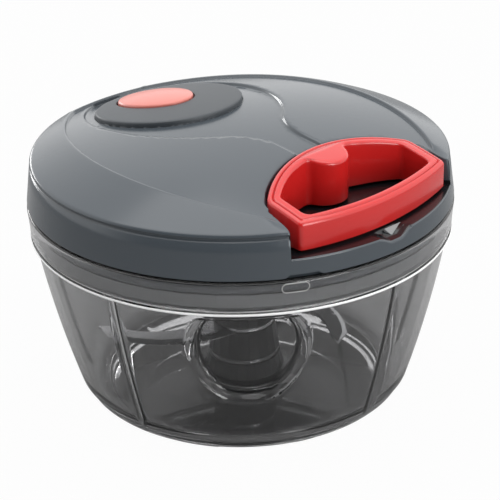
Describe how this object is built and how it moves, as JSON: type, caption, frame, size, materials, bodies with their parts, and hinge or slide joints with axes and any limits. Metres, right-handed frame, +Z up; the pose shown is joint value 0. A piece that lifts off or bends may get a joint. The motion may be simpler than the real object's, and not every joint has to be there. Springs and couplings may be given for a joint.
{
  "type": "manual food chopper",
  "caption": "Pull-cord food chopper: clear tapered bowl, low domed lid with a cord reel and D-shaped pull handle, vent button and a turning blade unit.",
  "frame": {"origin": "on the bowl's axis at the level that its foot stands on", "axes": "+Z up along the bowl's axis; +X the way the handle is pulled; +Y to the left of the pull"},
  "size_m": [0.1302, 0.13, 0.0874],
  "materials": {
    "clear_plastic": "smoky clear, polished",
    "slate_plastic": "semi-gloss moulded",
    "red_plastic": "gloss moulded",
    "coral_plastic": "satin moulded",
    "black_plastic": "satin moulded",
    "white_plastic": "low-friction plastic, satin",
    "light_plastic": "satin",
    "stainless": "fine ground",
    "spring_steel": "as rolled",
    "brass": "turned",
    "silicone": "matt",
    "cord": "braided"
  },
  "bodies": {
    "bowl": {"bowl": "clear_plastic", "bowl_pin": "stainless"},
    "lid": {"lid_cover": "slate_plastic", "lid_base": "slate_plastic", "lid_seal": "silicone", "lid_pointer": "light_plastic", "cord_eyelet": "stainless", "cord_lead": "cord", "spring_case": "black_plastic", "return_spring": "spring_steel", "reel_axle": "stainless", "shaft_bush": "brass", "button_spring": "spring_steel", "case_screw_0": "stainless", "case_screw_1": "stainless", "case_screw_2": "stainless", "cover_screw_0": "stainless", "cover_screw_1": "stainless", "cover_screw_2": "stainless", "cover_screw_3": "stainless"},
    "handle": {"handle": "red_plastic", "cord_knot": "cord", "knot_plug": "red_plastic", "cord_stub": "cord"},
    "reel": {"cord_reel": "white_plastic", "ratchet_wheel": "spring_steel", "cord_wound": "cord"},
    "drive": {"drive_disc": "black_plastic", "shaft_clip": "stainless"},
    "button": {"button": "coral_plastic", "vent_valve": "silicone"},
    "blade_carrier": {"hub_sleeve": "white_plastic"},
    "blade_unit": {"blade_hub": "black_plastic", "blade_0": "stainless", "blade_1": "stainless", "blade_2": "stainless", "blade_spacer_0": "black_plastic", "blade_spacer_1": "black_plastic"}
  },
  "joints": [
    {"name": "lid_lift", "type": "slide", "parent": "bowl", "child": "lid", "axis": [0, 0, 1], "range_m": [0, 0.14]},
    {"name": "handle_pull", "type": "slide", "parent": "lid", "child": "handle", "axis": [1, 0, 0], "range_m": [0, 0.36]},
    {"name": "reel_spin", "type": "hinge", "parent": "lid", "child": "reel", "pos_m": [0, 0, 0.0756], "axis": [0, 0, 1], "range_deg": [0, 1200]},
    {"name": "drive_spin", "type": "hinge", "parent": "lid", "child": "drive", "pos_m": [0, 0, 0.057], "axis": [0, 0, 1], "range_deg": [0, 1200]},
    {"name": "button_press", "type": "slide", "parent": "lid", "child": "button", "axis": [0, 0, -1], "range_m": [0, 0.002], "stiffness_N_per_m": 150, "deforming": ["button_spring"]},
    {"name": "blade_lift", "type": "slide", "parent": "bowl", "child": "blade_carrier", "axis": [0, 0, 1], "range_m": [0, 0.07]},
    {"name": "blade_spin", "type": "hinge", "parent": "blade_carrier", "child": "blade_unit", "pos_m": [0, 0, 0.0088], "axis": [0, 0, 1], "range_deg": [0, 1200]}
  ],
  "couplings": [
    {"joint": "reel_spin", "follows": "handle_pull", "rad_per_m": 57.8},
    {"joint": "drive_spin", "follows": "handle_pull", "rad_per_m": 57.8},
    {"joint": "blade_spin", "follows": "handle_pull", "rad_per_m": 57.8},
    {"joint": "blade_lift", "follows": "lid_lift", "ratio": 0.5}
  ]
}
